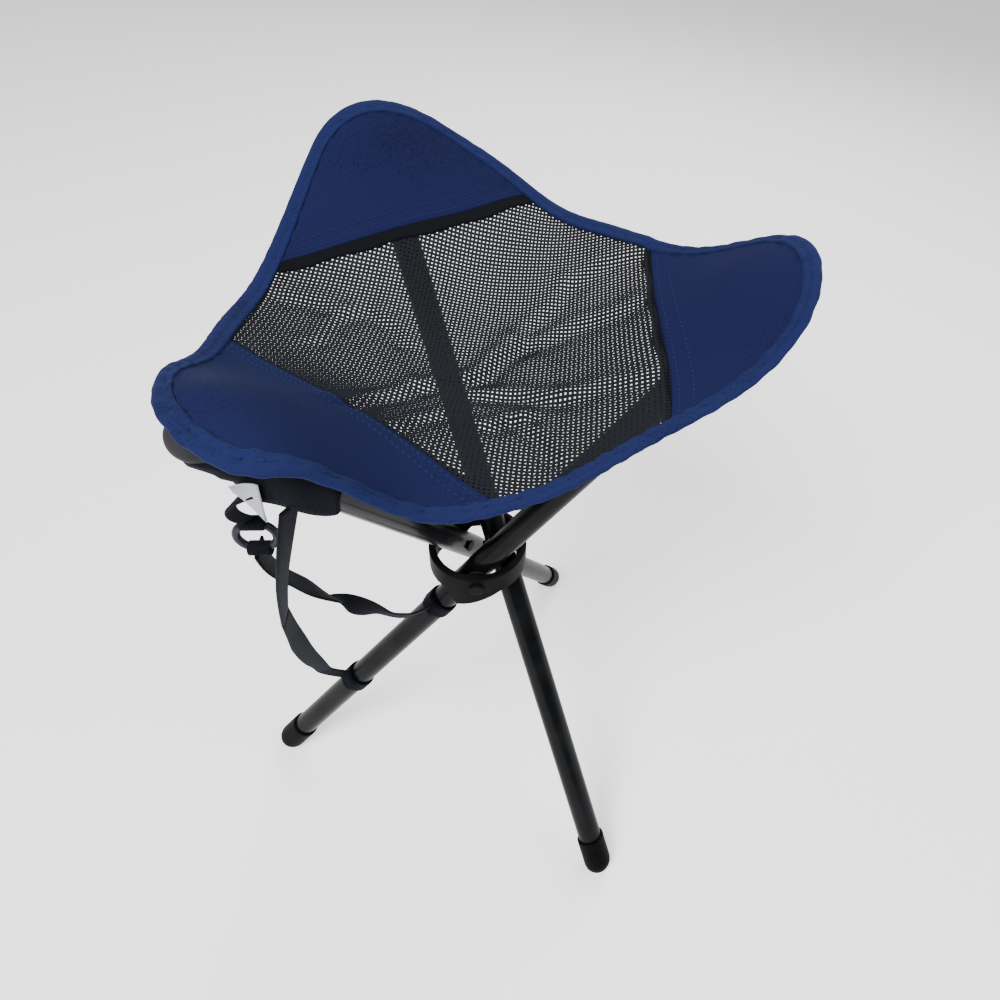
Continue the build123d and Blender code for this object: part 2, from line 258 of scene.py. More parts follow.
def swept(name, centers, sides, width, thickness, material, closed=False):
    """Strip of webbing with rounded edges, swept along points with a side direction at each."""
    centers = np.asarray(centers, float)
    sides = np.asarray(sides, float)
    ahead = np.gradient(centers, axis=0)
    if closed:
        ahead = np.roll(centers, -1, 0) - np.roll(centers, 1, 0)
    ahead /= np.linalg.norm(ahead, axis=1, keepdims=True)
    sides = sides - (sides * ahead).sum(1, keepdims=True) * ahead
    sides /= np.linalg.norm(sides, axis=1, keepdims=True)
    normals = np.cross(ahead, sides)
    profile = []
    for sense in (1, -1):
        for across in (-0.5, -0.47, -0.4, -0.2, 0, 0.2, 0.4, 0.47, 0.5):
            height = {0.5: 0.12, 0.47: 0.42}.get(abs(across), 0.5)
            profile.append((across * sense, height * sense))
    rings = np.stack([centers + sides * a * width + normals * h * thickness for a, h in profile], 1)
    rows, columns = rings.shape[:2]
    faces = grid_faces(rows, columns, closed=True)
    if closed:
        last = (rows - 1) * columns
        faces += [(last + c, last + (c + 1) % columns, (c + 1) % columns, c) for c in range(columns)]
    else:
        faces.append(tuple(reversed(range(columns))))
        faces.append(tuple(range((rows - 1) * columns, rows * columns)))
    return new_mesh(name, rings.reshape(-1, 3), faces, material)


def follow_leg(obj):
    """Bake a seat piece's placement into its points."""
    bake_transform(obj)


def attach(node=None):
    """Hide the CAD node that a piece stands for, if one is given."""
    if node:
        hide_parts(node)


def on_seat(obj, node=None):
    """Piece of the seat at one corner."""
    follow_leg(obj)
    attach(node)


def on_leg(obj, name, node=None):
    """Piece that stays with one leg."""
    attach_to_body(obj, f"leg_{name}")
    attach(node)


# ---------------------------------------------------------------- materials


def nodes_of(name, color, roughness):
    material = bpy.data.materials.new(name)
    material.use_nodes = True
    tree = material.node_tree
    shader = tree.nodes["Principled BSDF"]
    shader.inputs["Base Color"].default_value = (*color, 1)
    shader.inputs["Roughness"].default_value = roughness
    return material, tree, shader


def add_node(tree, kind, inputs=None, **settings):
    node = tree.nodes.new(kind)
    for key, value in settings.items():
        setattr(node, key, value)
    for key, value in (inputs or {}).items():
        if isinstance(value, bpy.types.NodeSocket):
            tree.links.new(value, node.inputs[key])
        else:
            node.inputs[key].default_value = value
    return node


def color_ramp(tree, factor, low, high, low_at, high_at):
    ramp = add_node(tree, "ShaderNodeValToRGB", {"Fac": factor})
    ramp.color_ramp.elements[0].position = low_at
    ramp.color_ramp.elements[1].position = high_at
    ramp.color_ramp.elements[0].color = (*low, 1)
    ramp.color_ramp.elements[1].color = (*high, 1)
    return ramp.outputs["Color"]


def math_node(tree, operation, first, second):
    return add_node(tree, "ShaderNodeMath", {0: first, 1: second}, operation=operation).outputs[0]


def noise(tree, place, scale, detail):
    settings = {"Vector": place, "Scale": scale, "Detail": detail}
    return add_node(tree, "ShaderNodeTexNoise", settings).outputs["Fac"]


# Scale of the wave texture that repeats once in a metre, to three digits
WAVE_SCALE = 0.314


def woven(name, dark, light, pitch, roughness=0.8, sheen=0.015, bump=0.35, turn=0.0, blotch=14.0):
    """Woven cloth: two crossed sets of threads, with a slow change of shade over the piece."""
    material, tree, shader = nodes_of(name, light, roughness)
    place = add_node(tree, "ShaderNodeTexCoord").outputs["Object"]
    mapping = add_node(tree, "ShaderNodeMapping", {"Vector": place, "Rotation": (0, 0, turn)})
    turned = mapping.outputs["Vector"]
    threads = []
    for direction in ("X", "Y"):
        settings = {"Vector": turned, "Scale": WAVE_SCALE / pitch, "Distortion": 0.6}
        settings |= {"Detail": 1.0, "Detail Scale": 2.0}
        wave = add_node(tree, "ShaderNodeTexWave", settings, bands_direction=direction)
        threads.append(wave.outputs["Fac"])
    weave = math_node(tree, "MULTIPLY", *threads)
    cloud = noise(tree, place, blotch, 5.0)
    fine = noise(tree, place, 900.0, 2.0)
    mixed = math_node(tree, "ADD", math_node(tree, "ADD", cloud, weave), fine)
    shade = color_ramp(tree, mixed, dark, light, 0.75, 1.0)
    tree.links.new(shade, shader.inputs["Base Color"])
    height = math_node(tree, "ADD", weave, fine)
    relief = add_node(tree, "ShaderNodeBump", {"Height": height, "Strength": bump, "Distance": 0.25 * MM})
    tree.links.new(relief.outputs["Normal"], shader.inputs["Normal"])
    shader.inputs["Specular IOR Level"].default_value = 0.04
    shader.inputs["Sheen Weight"].default_value = sheen
    shader.inputs["Sheen Roughness"].default_value = 0.45
    shader.inputs["Sheen Tint"].default_value = (0.45, 0.6, 1.0, 1)
    return material


def moulded(name, color, roughness, grain=1400.0, bump=0.12, coat=0.0):
    """Moulded or painted surface with a fine grain and slightly uneven gloss."""
    material, tree, shader = nodes_of(name, color, roughness)
    place = add_node(tree, "ShaderNodeTexCoord").outputs["Object"]
    grains = noise(tree, place, grain, 3.0)
    patches = noise(tree, place, 45.0, 4.0)
    span = {"Value": patches, "To Min": roughness * 0.75, "To Max": roughness * 1.3}
    gloss = add_node(tree, "ShaderNodeMapRange", span)
    tree.links.new(gloss.outputs["Result"], shader.inputs["Roughness"])
    lighter = tuple(min(1.0, channel * 1.7 + 0.004) for channel in color)
    tree.links.new(color_ramp(tree, patches, color, lighter, 0.35, 0.75), shader.inputs["Base Color"])
    relief = add_node(tree, "ShaderNodeBump", {"Height": grains, "Strength": bump, "Distance": 0.1 * MM})
    tree.links.new(relief.outputs["Normal"], shader.inputs["Normal"])
    shader.inputs["Coat Weight"].default_value = coat
    shader.inputs["Specular IOR Level"].default_value = 0.02
    shader.inputs["Coat Roughness"].default_value = 0.12
    return material


panel_cloth = woven("navy_cloth", (0.0024, 0.003, 0.013), (0.0064, 0.0082, 0.038), 0.9 * MM, turn=0.3)
binding_cloth = woven(
    "binding_cloth",
    (0.003, 0.0046, 0.02),
    (0.0085, 0.0125, 0.054),
    0.7 * MM,
    turn=0.9,
    blotch=30.0,
    sheen=0.025,
)
mesh_cloth = woven("mesh_cloth", (0.0025, 0.003, 0.0036), (0.008, 0.009, 0.011), 0.4 * MM, 0.7, 0.01, 0.2)
tape_cloth = woven("tape_cloth", (0.0012, 0.0014, 0.002), (0.0035, 0.004, 0.0055), 0.7 * MM, turn=0.4)
pocket_cloth = woven("pocket_cloth", (0.0012, 0.0012, 0.0016), (0.0035, 0.0038, 0.005), 0.9 * MM)
webbing = woven(
    "webbing", (0.0012, 0.0013, 0.0018), (0.004, 0.0045, 0.0065), 1.1 * MM, 0.75, 0.015, 0.6, turn=0.6
)
label_cloth = woven("label_cloth", (0.2, 0.21, 0.23), (0.34, 0.35, 0.37), 0.5 * MM, 0.7, 0.1, 0.2)
thread = woven("navy_thread", (0.003, 0.006, 0.024), (0.009, 0.016, 0.06), 0.3 * MM, 0.7, 0.02, 0.3)
tube_paint = moulded("tube_paint", (0.0012, 0.0014, 0.002), 0.3, 900.0, 0.06, 0.14)
foot_rubber = moulded("foot_rubber", (0.0022, 0.0021, 0.002), 0.5)
hub_plastic = moulded("hub_plastic", (0.0018, 0.002, 0.0024), 0.45, 1600.0, 0.15)
cap_plastic = moulded("cap_plastic", (0.014, 0.014, 0.016), 0.5)
ring_plastic = moulded("ring_plastic", (0.008, 0.009, 0.014), 0.25, 700.0, 0.05, 0.3)
rivet_paint = moulded("rivet_paint", (0.0022, 0.0023, 0.0027), 0.45, 600.0, 0.1, 0.02)


def finish_node(node, material):
    data = frame["nodes"][node].data
    data.materials.clear()
    data.materials.append(material)


for name in CORNERS:
    finish_node(f"leg_tube_{name}", tube_paint)
    finish_node(f"foot_cap_{name}", foot_rubber)
    finish_node(f"leg_top_cap_{name}", cap_plastic)
    finish_node(f"pivot_rivet_{name}", rivet_paint)
    finish_node(f"pivot_washer_{name}", cap_plastic)
finish_node("hub_ring", hub_plastic)
finish_node("strap_ring", ring_plastic)

# ---------------------------------------------------------------- seat: mesh, panels, tapes, binding

MESH_PITCH = 2.1 * MM
MESH_THREAD = 1.25 * MM
MESH_HALF = 0.2 * MM
# Turn of the borders between the mesh's thirds, so that no border runs along a thread
BORDER_TURN = 0.004


def mesh_sector(name):
    """Open mesh of one third of the seat: crossed threads with real holes between them."""
    count = int(CORNER_REACH / MESH_PITCH)
    centers = np.arange(-count, count + 1) * MESH_PITCH
    lines = np.stack([centers - MESH_THREAD / 2, centers + MESH_THREAD / 2], 1).ravel()
    along, across = np.meshgrid(lines, lines, indexing="ij")
    x, y = rotated(azimuths["right"], along, across)
    row, column = np.meshgrid(np.arange(len(lines)) // 2, np.arange(len(lines)) // 2, indexing="ij")
    weave = np.where((row + column) % 2 == 0, 0.12 * MM, -0.12 * MM)
    theta = np.arctan2(y, x)
    inside = np.hypot(x, y) < outline_reach(theta) - MESH_TUCK
    for corner in CORNERS:
        ahead = x * cos(azimuths[corner]) + y * sin(azimuths[corner])
        inside &= ahead < SEAM_REACH[corner] + 4 * MM
    size = len(lines)
    middle_x = (x[:-1, :-1] + x[1:, 1:]) / 2
    middle_y = (y[:-1, :-1] + y[1:, 1:]) / 2
    turn = np.mod(np.arctan2(middle_y, middle_x) - azimuths[name] + BORDER_TURN + pi, 2 * pi) - pi
    thread_row = (np.arange(size - 1) % 2 == 0)[:, None]
    thread_column = (np.arange(size - 1) % 2 == 0)[None, :]
    keep = (thread_row | thread_column) & (turn >= -pi / 3) & (turn < pi / 3)
    keep &= inside[:-1, :-1] & inside[1:, :-1] & inside[:-1, 1:] & inside[1:, 1:]
    top = seat_xyz(x, y, MESH_HALF + weave).reshape(-1, 3)
    bottom = seat_xyz(x, y, -MESH_HALF + weave).reshape(-1, 3)
    used = {}
    vertices = []

    def vertex(i, j, side):
        key = (i, j, side)
        if key not in used:
            used[key] = len(vertices)
            vertices.append((top, bottom)[side][i * size + j])
        return used[key]

    faces = []
    padded = np.pad(keep, 1)
    for i, j in zip(*np.nonzero(keep)):
        ring = [(i, j), (i + 1, j), (i + 1, j + 1), (i, j + 1)]
        faces.append([vertex(*corner, 0) for corner in ring])
        faces.append([vertex(*corner, 1) for corner in reversed(ring)])
        beside = [padded[i + 1, j], padded[i + 2, j + 1], padded[i + 1, j + 2], padded[i, j + 1]]
        for side in range(4):
            if not beside[side]:
                a, b = ring[side], ring[(side + 1) % 4]
                faces.append([vertex(*b, 0), vertex(*a, 0), vertex(*a, 1), vertex(*b, 1)])
    obj = new_mesh(f"seat_mesh_{name}", vertices, faces, mesh_cloth, smooth=False)
    area = keep.sum() / 3 * MESH_PITCH**2
    ahead = middle_x * cos(azimuths[name]) + middle_y * sin(azimuths[name])
    beside = middle_y * cos(azimuths[name]) - middle_x * sin(azimuths[name])
    flat = (float(np.ptp(beside[keep])), float(np.ptp(ahead[keep])))
    return obj, flat, float(area)


def half_span(angle, along, tuck):
    """Farthest distance across a corner's direction that stays inside the seat's edge."""
    wide = np.linspace(0, 200 * MM, 801)
    x, y = rotated(angle, along, wide)
    inside = np.hypot(x, y) < outline_reach(np.arctan2(y, x)) - tuck
    return wide[inside].max()


def panel(name):
    """Solid cloth corner, from its seam to under the binding."""
    angle = azimuths[name]
    start = SEAM_REACH[name] - 3 * MM
    rows, columns = 46, 121
    lift, above, below = 0.7 * MM, 0.25 * MM, 0.5 * MM
    limit = half_span(angle, start, PANEL_TUCK)
    across = np.linspace(-limit, limit, columns)
    far = np.full(columns, start)
    for step in np.linspace(0, 80 * MM, 401):
        x, y = rotated(angle, start + step, across)
        inside = np.hypot(x, y) < outline_reach(np.arctan2(y, x)) - PANEL_TUCK
        far = np.where(inside, start + step, far)
    share = np.linspace(0, 1, rows)[:, None]
    along = start + share * (far - start)[None, :]
    x, y = rotated(angle, along, np.broadcast_to(across, along.shape))
    top = seat_xyz(x, y, lift + above)
    bottom = seat_xyz(x, y, lift - below)
    obj = sheet_mesh(f"corner_cloth_{name}", top, bottom, panel_cloth)
    area = np.diff(along, axis=0).sum(0).mean() * 2 * limit
    return obj, (2 * limit, (far - start).max()), area


def tape(name, inner, outer, lift, label, material):
    """Strip of tape across the seat along a corner's seam."""
    angle = azimuths[name]
    limit = half_span(angle, (inner + outer) / 2, TAPE_TUCK)
    across = np.linspace(-limit, limit, 121)
    along = np.linspace(inner, outer, 7)[:, None] + 0.5 * MM * np.sin(across * 190)[None, :]
    x, y = rotated(angle, along, np.broadcast_to(across, along.shape))
    return sheet_mesh(label, seat_xyz(x, y, lift + 0.5 * MM), seat_xyz(x, y, lift), material)


# Section of the folded tape round the edge, in millimetres: inset from the edge, lift from the cloth
BINDING_SECTION = [(8.4, 1.3), (7.6, 1.9), (5.6, 1.75), (5.0, 1.45), (4.3, 1.8), (2.2, 2.0), (0.6, 1.4)]
BINDING_SECTION += [(0, 0.3), (0.5, -0.8), (2.0, -1.3), (5.0, -1.2), (8.0, -0.9), (8.2, -0.3)]


def binding(name):
    """Folded tape round the seat's edge, with the small puckers of its sewing."""
    theta = azimuths[name] + np.linspace(-pi / 3, pi / 3, 261)
    points = []
    pucker = 0.22 * np.sin(theta * 97) + 0.16 * np.sin(theta * 61 + 1.3)
    for inset, lift in BINDING_SECTION:
        x, y = edge_point(theta, (inset + 0.6 * pucker) * MM)
        points.append(seat_xyz(x, y, (lift + pucker * (1 if lift > 0 else 0.4)) * MM))
    rings = np.stack(points, 1)
    rows, columns = rings.shape[:2]
    faces = grid_faces(rows, columns, closed=True)
    faces.append(tuple(range(columns)))
    faces.append(tuple(reversed(range((rows - 1) * columns, rows * columns))))
    return new_mesh(f"edge_tape_{name}", rings.reshape(-1, 3), faces, binding_cloth)


STITCH_R = 0.38 * MM
# Stitch from end to end: share of its length, share of its radius
STITCH_SECTIONS = ((-0.5, 0.35), (-0.3, 1.0), (0.3, 1.0), (0.5, 0.35))
STITCH_SIDES = 6


def stitches(label, centers, directions, normals, length, material):
    """Row of separate raised stitches, each a small tapered lozenge of thread."""
    vertices = []
    faces = []
    for center, direction, normal in zip(centers, directions, normals):
        side = np.cross(normal, direction)
        offset = len(vertices)
        for share, width in STITCH_SECTIONS:
            middle = center + direction * share * length
            reach = STITCH_R * width
            for turn in range(STITCH_SIDES):
                around = turn * pi / 3
                vertices.append(middle + side * cos(around) * reach + normal * sin(around) * reach * 0.8)
        faces += grid_faces(len(STITCH_SECTIONS), STITCH_SIDES, offset, closed=True)
        last = offset + STITCH_SIDES * (len(STITCH_SECTIONS) - 1)
        faces.append(tuple(offset + turn for turn in reversed(range(STITCH_SIDES))))
        faces.append(tuple(last + turn for turn in range(STITCH_SIDES)))
    return new_mesh(label, vertices, faces, material)


def stitch_row(label, x, y, lift, pitch, material):
    """Stitches along a line of plan points on the seat."""
    line = seat_xyz(x, y, lift)
    above = seat_xyz(x, y, lift + 1 * MM)
    gaps = np.linalg.norm(np.diff(line, axis=0), axis=1)
    travel = np.concatenate([[0], np.cumsum(gaps)])
    marks = np.arange(pitch / 2, travel[-1] - pitch / 2, pitch)
    centers = np.stack([np.interp(marks, travel, line[:, axis]) for axis in range(3)], 1)
    ahead = np.stack([np.interp(marks + pitch / 4, travel, line[:, axis]) for axis in range(3)], 1)
    tops = np.stack([np.interp(marks, travel, above[:, axis]) for axis in range(3)], 1)
    directions = ahead - centers
    directions /= np.linalg.norm(directions, axis=1, keepdims=True)
    normals = tops - centers
    normals /= np.linalg.norm(normals, axis=1, keepdims=True)
    return stitches(label, centers, directions, normals, pitch * 0.68, material)


EDGE_STITCH_INSET = 5 * MM
EDGE_STITCH_PITCH = 3.4 * MM
SEAM_STITCH_PITCH = 3 * MM
# Dark tape that shows on top of the seam, how far it reaches into the mesh. The left seam shows none
COVER_REACH = {"back": 9 * MM, "right": 4 * MM}

meshes = {}
panels = {}
sheet_extras = {}
for name in CORNERS:
    seam = SEAM_REACH[name]
    meshes[name] = mesh_sector(name)
    on_seat(meshes[name][0], "mesh_panel")
    panels[name] = panel(name)
    corner, (corner_width, _), _ = panels[name]
    on_seat(corner, f"corner_panel_{name}")
    edge = binding(name)
    on_seat(edge, f"edge_binding_{name}")
    under = tape(name, seam - 7 * MM, seam + 5 * MM, -1.0 * MM, f"seam_underside_{name}", tape_cloth)
    on_seat(under, f"seam_tape_{name}")
    x, y = edge_point(azimuths[name] + np.linspace(-pi / 3, pi / 3, 500), EDGE_STITCH_INSET)
    edge_row = stitch_row(f"edge_stitches_{name}", x, y, 1.5 * MM, EDGE_STITCH_PITCH, thread)
    on_seat(edge_row)
    sheet_extras[name] = [edge, under, edge_row]
    across = np.linspace(-corner_width / 2 * 0.93, corner_width / 2 * 0.93, 400)
    for index, reach in enumerate((seam - 0.5 * MM, seam + 4.5 * MM)):
        x, y = rotated(azimuths[name], reach, across)
        seam_row = stitch_row(f"seam_stitches_{name}_{index}", x, y, 1.0 * MM, SEAM_STITCH_PITCH, thread)
        on_seat(seam_row)
        sheet_extras[name].append(seam_row)
    if name in COVER_REACH:
        inner = seam - COVER_REACH[name]
        cover = tape(name, inner, seam + 1 * MM, 0.35 * MM, f"seam_cover_{name}", tape_cloth)
        on_seat(cover)
        sheet_extras[name].append(cover)

# ---------------------------------------------------------------- leg pockets


# Outside of a pocket, in millimetres: distance up the leg from its top, radius
POCKET_STATIONS = [(-26, 10.6), (-25.6, 11.1), (-24, 11.2), (-22.6, 10.75), (-20, 10.8), (-14, 10.9)]
POCKET_STATIONS += [(-8, 10.8), (-3, 10.7), (1, 10.6), (4, 9.9), (6.6, 8.4), (8.9, 5.9)]
POCKET_STATIONS += [(10.3, 3.0), (10.7, 0.8)]
POCKET_WALL = 1.1
POCKET_BORE = 9.6
POCKET_SEAM = -22.6


def pocket(name):
    """Cloth sleeve over a leg's top end, drawn up against the seat's underside."""
    up = np.array(leg_axis[name])
    tip = np.array(leg_tops[name]) - up * 0.4 * MM
    out = np.array([cos(azimuths[name]), sin(azimuths[name]), 0])
    side = np.cross(up, out)
    side /= np.linalg.norm(side)
    over = np.cross(side, up)
    turns = np.linspace(0, 2 * pi, 64, endpoint=False)
    outer = []
    inner = []
    for ahead, radius in POCKET_STATIONS:
        middle = tip + up * ahead * MM
        crease = 0.28 * np.sin(5 * turns + 0.35 * ahead) + 0.18 * np.sin(9 * turns - 0.5 * ahead)
        reach = (radius + crease * min(1, radius / 8)) * MM
        outer.append(middle + np.outer(np.cos(turns) * reach, side) + np.outer(np.sin(turns) * reach, over))
        if ahead < 0:
            bore = max(radius - POCKET_WALL, POCKET_BORE) * MM
            ring = middle + np.outer(np.cos(turns) * bore, side) + np.outer(np.sin(turns) * bore, over)
            inner.insert(0, ring)
    rings = np.stack(inner + outer)
    rows, columns = rings.shape[:2]
    faces = grid_faces(rows, columns, closed=True)
    faces.append(tuple(range((rows - 1) * columns, rows * columns)))
    obj = new_mesh(f"leg_pocket_sleeve_{name}", rings.reshape(-1, 3), faces, pocket_cloth)
    marks = np.linspace(0, 2 * pi, 26, endpoint=False)
    ring = np.outer(np.cos(marks), side) + np.outer(np.sin(marks), over)
    centers = tip + up * POCKET_SEAM * MM + ring * 11.0 * MM
    seam = stitches(f"pocket_stitches_{name}", centers, np.cross(up, ring), ring, 1.8 * MM, thread)
    on_leg(obj, name, f"leg_pocket_{name}")
    on_leg(seam, name)
    return [obj, seam]


for name in CORNERS:
    sheet_extras[name] += pocket(name)

# ---------------------------------------------------------------- straps

STRAP_WIDTH = 10 * MM
STRAP_THICKNESS = 1.3 * MM

# Control points in millimetres, from the seat down. The upper and lower half of a strap share a point
carry_upper_route = [
    (-54.8, -130.0, 393.6),
    (-58.0, -130.0, 381.2),
    (-63.9, -126.0, 359.3),
    (-72.8, -116.0, 326.9),
    (-83.7, -97.7, 282.0),
]
carry_lower_route = [
    (-83.7, -97.7, 282.0),
    (-92.4, -76.0, 227.3),
    (-97.5, -57.0, 180.0),
    (-101.0, -38.0, 138.0),
    (-103.8, -25.5, 109.0),
    (-91.9, -21.4, 98.1),
]
closure_upper_route = [
    (-78.6, -110.6, 348.6),
    (-80.2, -106.0, 334.5),
    (-80.5, -97.0, 315.0),
    (-75.9, -86.0, 289.6),
    (-68.3, -72.7, 259.8),
]
closure_lower_route = [
    (-68.3, -72.7, 259.8),
    (-57.0, -60.0, 232.5),
    (-46.5, -49.0, 209.5),
    (-37.1, -37.5, 191.6),
    (-27.9, -26.2, 185.1),
]


def spline_points(route):
    """Points along the smooth spline whose control points are the route."""
    data = bpy.data.curves.new("route", "CURVE")
    data.dimensions = "3D"
    data.resolution_u = 14
    spline = data.splines.new("NURBS")
    spline.points.add(len(route) - 1)
    for point, place in zip(spline.points, route):
        point.co = (*[value * MM for value in place], 1)
    spline.order_u = 3
    spline.use_endpoint_u = True
    curve = bpy.data.objects.new("route", data)
    bpy.context.scene.collection.objects.link(curve)
    bpy.context.view_layer.update()
    line = bpy.data.meshes.new_from_object(curve.evaluated_get(bpy.context.evaluated_depsgraph_get()))
    points = np.array([vertex.co for vertex in line.vertices])
    bpy.data.objects.remove(curve)
    return points


TWIST_SMOOTHING = 12


def carried_sides(points, first, twists, last=None):
    """Side directions along a strap: carried without turning from the first one, then twisted.

    Each twist is a share of the way along and degrees. A last direction, if given, ends the twists.
    """
    ahead = np.gradient(points, axis=0)
    ahead /= np.linalg.norm(ahead, axis=1, keepdims=True)
    travel = np.concatenate([[0], np.cumsum(np.linalg.norm(np.diff(points, axis=0), axis=1))])
    travel /= travel[-1]
    side = np.array(first, float)
    plain = []
    for direction in ahead:
        side = side - side.dot(direction) * direction
        side /= np.linalg.norm(side)
        plain.append(side.copy())
    plain = np.array(plain)
    across = np.cross(ahead, plain)
    marks = [mark for mark, _ in twists]
    turns = [turn for _, turn in twists]
    if last is not None:
        end = np.array(last, float)
        aim = np.degrees(atan2(end.dot(across[-1]), end.dot(plain[-1])))
        aim += 180 * round((turns[-1] - aim) / 180)
        marks = marks + [1]
        turns = turns + [aim]
    smooth = np.interp(travel, marks, turns)
    for _ in range(TWIST_SMOOTHING):
        smooth[1:-1] = (smooth[:-2] + smooth[1:-1] * 2 + smooth[2:]) / 4
    angle = np.radians(smooth)[:, None]
    return plain * np.cos(angle) + across * np.sin(angle), plain[-1]


def strap(label, route, first, twists, node, last=None):
    points = spline_points(route)
    sides, carried = carried_sides(points, first, twists, last)
    obj = swept(label, points, sides, STRAP_WIDTH, STRAP_THICKNESS, webbing)
    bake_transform(obj)
    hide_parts(node)
    return points, carried


leg_side = tuple(leg_axis["right"])
tab_side = (0.958, -0.286, 0)
_, carried = strap(
    "carry_strap_top",
    carry_upper_route,
    tab_side,
    [(0, 100), (0.5, 84), (1, 72)],
    "carry_strap_upper",
)
strap(
    "carry_strap_foot",
    carry_lower_route,
    carried,
    [(0, 72), (0.2, 84), (0.36, 118), (0.6, 125), (0.8, 150)],
    "carry_strap_lower",
    leg_side,
)
_, carried = strap(
    "closure_strap_top",
    closure_upper_route,
    (0.99, -0.1, 0.1),
    [(0, 92), (0.5, 58), (0.7, 66), (1, 24)],
    "closure_strap_upper",
)
strap(
    "closure_strap_foot",
    closure_lower_route,
    carried,
    [(0, 24), (0.15, 96), (0.25, 112), (0.5, 184)],
    "closure_strap_lower",
    leg_side,
)

LOOP_R = 8.95 * MM
LOOP_LAP = 1.35 * MM
LOOP_POINTS = 150
LOOP_SEAM_R = 11.0 * MM
LOOP_SEAM_DEGREES = [398, 403, 408, 413, 418]


def strap_loop(label):
    """Webbing loop round the right leg, with its end lapped over and sewn down."""
    low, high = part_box(label)
    middle = np.array((low + high) / 2)
    up = np.array(leg_axis["right"])
    side = np.cross(up, (0, 1, 0))
    side /= np.linalg.norm(side)
    other = np.cross(up, side)
    turns = np.radians(np.linspace(0, 430, LOOP_POINTS))
    reach = LOOP_R + LOOP_LAP * np.clip((turns - radians(350)) / radians(25), 0, 1)
    circle = np.outer(np.cos(turns) * reach, side) + np.outer(np.sin(turns) * reach, other)
    sides = np.tile(up, (LOOP_POINTS, 1))
    band = swept(f"{label}_band", middle + circle, sides, STRAP_WIDTH, STRAP_THICKNESS, webbing)
    marks = np.radians(LOOP_SEAM_DEGREES)
    row = np.outer(np.cos(marks), side) + np.outer(np.sin(marks), other)
    centers = [middle + row * LOOP_SEAM_R + up * shift * MM for shift in (-3.4, 3.4)]
    normals = np.concatenate([row, row])
    directions = np.cross(up, normals)
    name = f"{label}_stitches"
    seam = stitches(name, np.concatenate(centers), directions, normals, 1.5 * MM, webbing)
    on_leg(band, "right", label)
    on_leg(seam, "right")


strap_loop("carry_strap_loop")
strap_loop("closure_strap_loop")

# Folded tab sewn under the seat's edge, which the straps hang from
tab_low, tab_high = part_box("strap_tab")
tab_middle = np.array((tab_low + tab_high) / 2)
tab_out = np.array([tab_middle[0] - hub.x, tab_middle[1] - hub.y, 0])
tab_out /= np.linalg.norm(tab_out)
tab_along = np.array([tab_side[0], tab_side[1], 0])


TAB_CORNER_RISE = 2.2 * MM
TAB_TOP_LIFT = -2.2 * MM


def sewn_tab(label, half_width, low, inward, thickness, lean, material):
    """Patch of cloth that hangs from under the seat's edge, with rounded lower corners."""
    columns = np.linspace(-half_width, half_width, 25)
    faces_of = []
    for side in (0, 1):
        grid = []
        for share in np.linspace(0, 1, 12):
            droop = low + TAB_CORNER_RISE * (np.abs(columns) / half_width) ** 6
            plan = tab_middle + np.outer(columns, tab_along) - tab_out * (inward + lean * share**2)
            under = seat_xyz(plan[:, 0] - hub.x, plan[:, 1] - hub.y, TAB_TOP_LIFT)
            height = droop + (under[:, 2] - droop) * share
            wave = 0.5 * MM * np.sin(columns * 260 + 3 * share)
            place = plan + np.outer(wave + side * thickness, tab_out)
            grid.append(np.column_stack([place[:, 0], place[:, 1], height]))
        faces_of.append(np.array(grid))
    return sheet_mesh(label, faces_of[1], faces_of[0], material)


tab = sewn_tab("strap_tab_cloth", 17 * MM, tab_low.z, 1 * MM, 1.8 * MM, 5 * MM, webbing)
on_leg(tab, "left", "strap_tab")

# Short strip of webbing that holds the ring, and the two folds of webbing round the ring
ring_low, ring_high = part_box("strap_ring")
ring_middle = np.array((ring_low + ring_high) / 2)
hang_route = [
    (-66.0, -126.5, 397.0),
    (-76.0, -125.0, 391.0),
    (-80.5, -119.0, 376.0),
    (-78.5, -112.0, 366.5),
]
hang_points = spline_points(hang_route)
hang_sides, _ = carried_sides(hang_points, (0.75, 0.65, 0), [(0, -30), (1, 10)])
hanger = swept("ring_hanger", hang_points, hang_sides, 5 * MM, 1.2 * MM, webbing)
on_leg(hanger, "left", "ring_tab")

FOLD_POINTS = 40
FOLD_R = 2.5 * MM
turns = np.linspace(0, 2 * pi, FOLD_POINTS, endpoint=False)
circle = np.column_stack([np.zeros(FOLD_POINTS), np.cos(turns) * FOLD_R, np.sin(turns) * FOLD_R])
sides = np.tile((1.0, 0, 0), (FOLD_POINTS, 1))
for label, rise in (("ring_fold_top", 7.5), ("ring_fold_strap", -7.5)):
    place = ring_middle + np.array([0, 0, rise * MM])
    fold = swept(label, place + circle, sides, 9 * MM, 1.2 * MM, webbing, closed=True)
    on_leg(fold, "left")

# Blank label, a little curled, longer at one side
label_low, label_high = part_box("care_label")
rows = np.linspace(0, 1, 9)[:, None]
columns = np.linspace(0, 1, 9)[None, :]
curl = 1.5 * MM * np.sin(2.6 * columns + 1.2 * rows) + 0 * rows
label_x = label_low.x + 0.5 * MM + columns * 9 * MM + 0 * rows
label_z = label_high.z - rows * (4 + 13 * columns) * MM
label_y = (label_low.y + label_high.y) / 2 + curl
label_half = 0.25 * MM
front = np.stack([label_x, label_y - label_half, label_z], -1)
rear = np.stack([label_x, label_y + label_half, label_z], -1)
label = sheet_mesh("care_label_blank", front, rear, label_cloth)
on_leg(label, "left", "care_label")

# ---------------------------------------------------------------- camera, light and floor

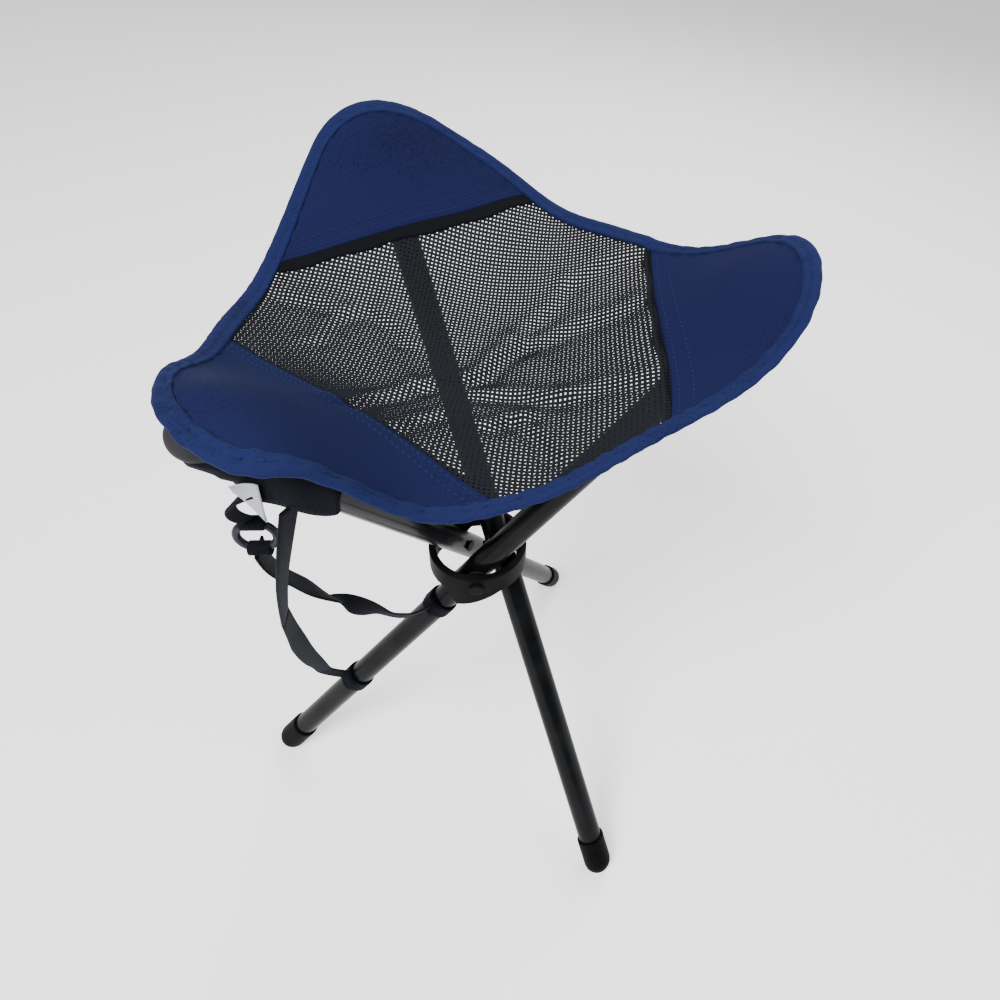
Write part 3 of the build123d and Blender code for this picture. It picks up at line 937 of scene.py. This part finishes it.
# Camera fitted to the photo: metres, degrees, and shares of the picture's width
CAMERA_PLACE = (0.0184, -0.3091, 0.5905)
CAMERA_YAW = 10.9
CAMERA_PITCH = -41.8
CAMERA_ROLL = 7.9
CAMERA_LENS_MM = 26.5
CAMERA_SHIFT = (-0.111, -0.063)
FLOOR_HALF = 6.0


def add_camera():
    data = bpy.data.cameras.new("camera")
    data.sensor_width = 36
    data.lens = CAMERA_LENS_MM
    data.shift_x, data.shift_y = CAMERA_SHIFT
    data.clip_start = 0.01
    camera = bpy.data.objects.new("camera", data)
    bpy.context.scene.collection.objects.link(camera)
    yaw, pitch = radians(CAMERA_YAW), radians(CAMERA_PITCH)
    ahead = Vector((sin(yaw) * cos(pitch), cos(yaw) * cos(pitch), sin(pitch)))
    level = ahead.cross(Vector((0, 0, 1))).normalized()
    upright = level.cross(ahead)
    roll = radians(CAMERA_ROLL)
    side = level * cos(roll) + upright * sin(roll)
    top = side.cross(ahead)
    turn = Matrix((side, top, -ahead)).transposed().to_4x4()
    camera.matrix_world = Matrix.Translation(CAMERA_PLACE) @ turn
    bpy.context.scene.camera = camera


def add_area_light(name, place, target, size, power):
    data = bpy.data.lights.new(name, "AREA")
    data.shape = "SQUARE"
    data.size = size
    data.energy = power
    light = bpy.data.objects.new(name, data)
    bpy.context.scene.collection.objects.link(light)
    light.location = place
    light.rotation_euler = (Vector(target) - Vector(place)).to_track_quat("-Z", "Y").to_euler()


def add_stage():
    material, _, shader = nodes_of("floor_paper", (0.9, 0.9, 0.9), 0.9)
    shader.inputs["Emission Color"].default_value = (1, 1, 1, 1)
    shader.inputs["Emission Strength"].default_value = 0.45
    corners = [(FLOOR_HALF * x, FLOOR_HALF * y, 0) for x, y in ((-1, -1), (1, -1), (1, 1), (-1, 1))]
    floor = new_mesh("floor", corners, [(0, 1, 2, 3)], material, smooth=False)
    world = bpy.data.worlds.new("studio")
    world.use_nodes = True
    world.node_tree.nodes["Background"].inputs["Color"].default_value = (1, 1, 1, 1)
    world.node_tree.nodes["Background"].inputs["Strength"].default_value = 0.42
    bpy.context.scene.world = world
    add_area_light("key", (-0.7, -1.0, 1.7), (0, 0, 0.2), 0.9, 72)
    add_area_light("back", (0.5, 1.3, 1.6), (0, 0, 0.2), 1.2, 30)
    add_area_light("side", (1.5, -0.4, 1.3), (0, 0, 0.2), 1.0, 18)


add_camera()
add_stage()
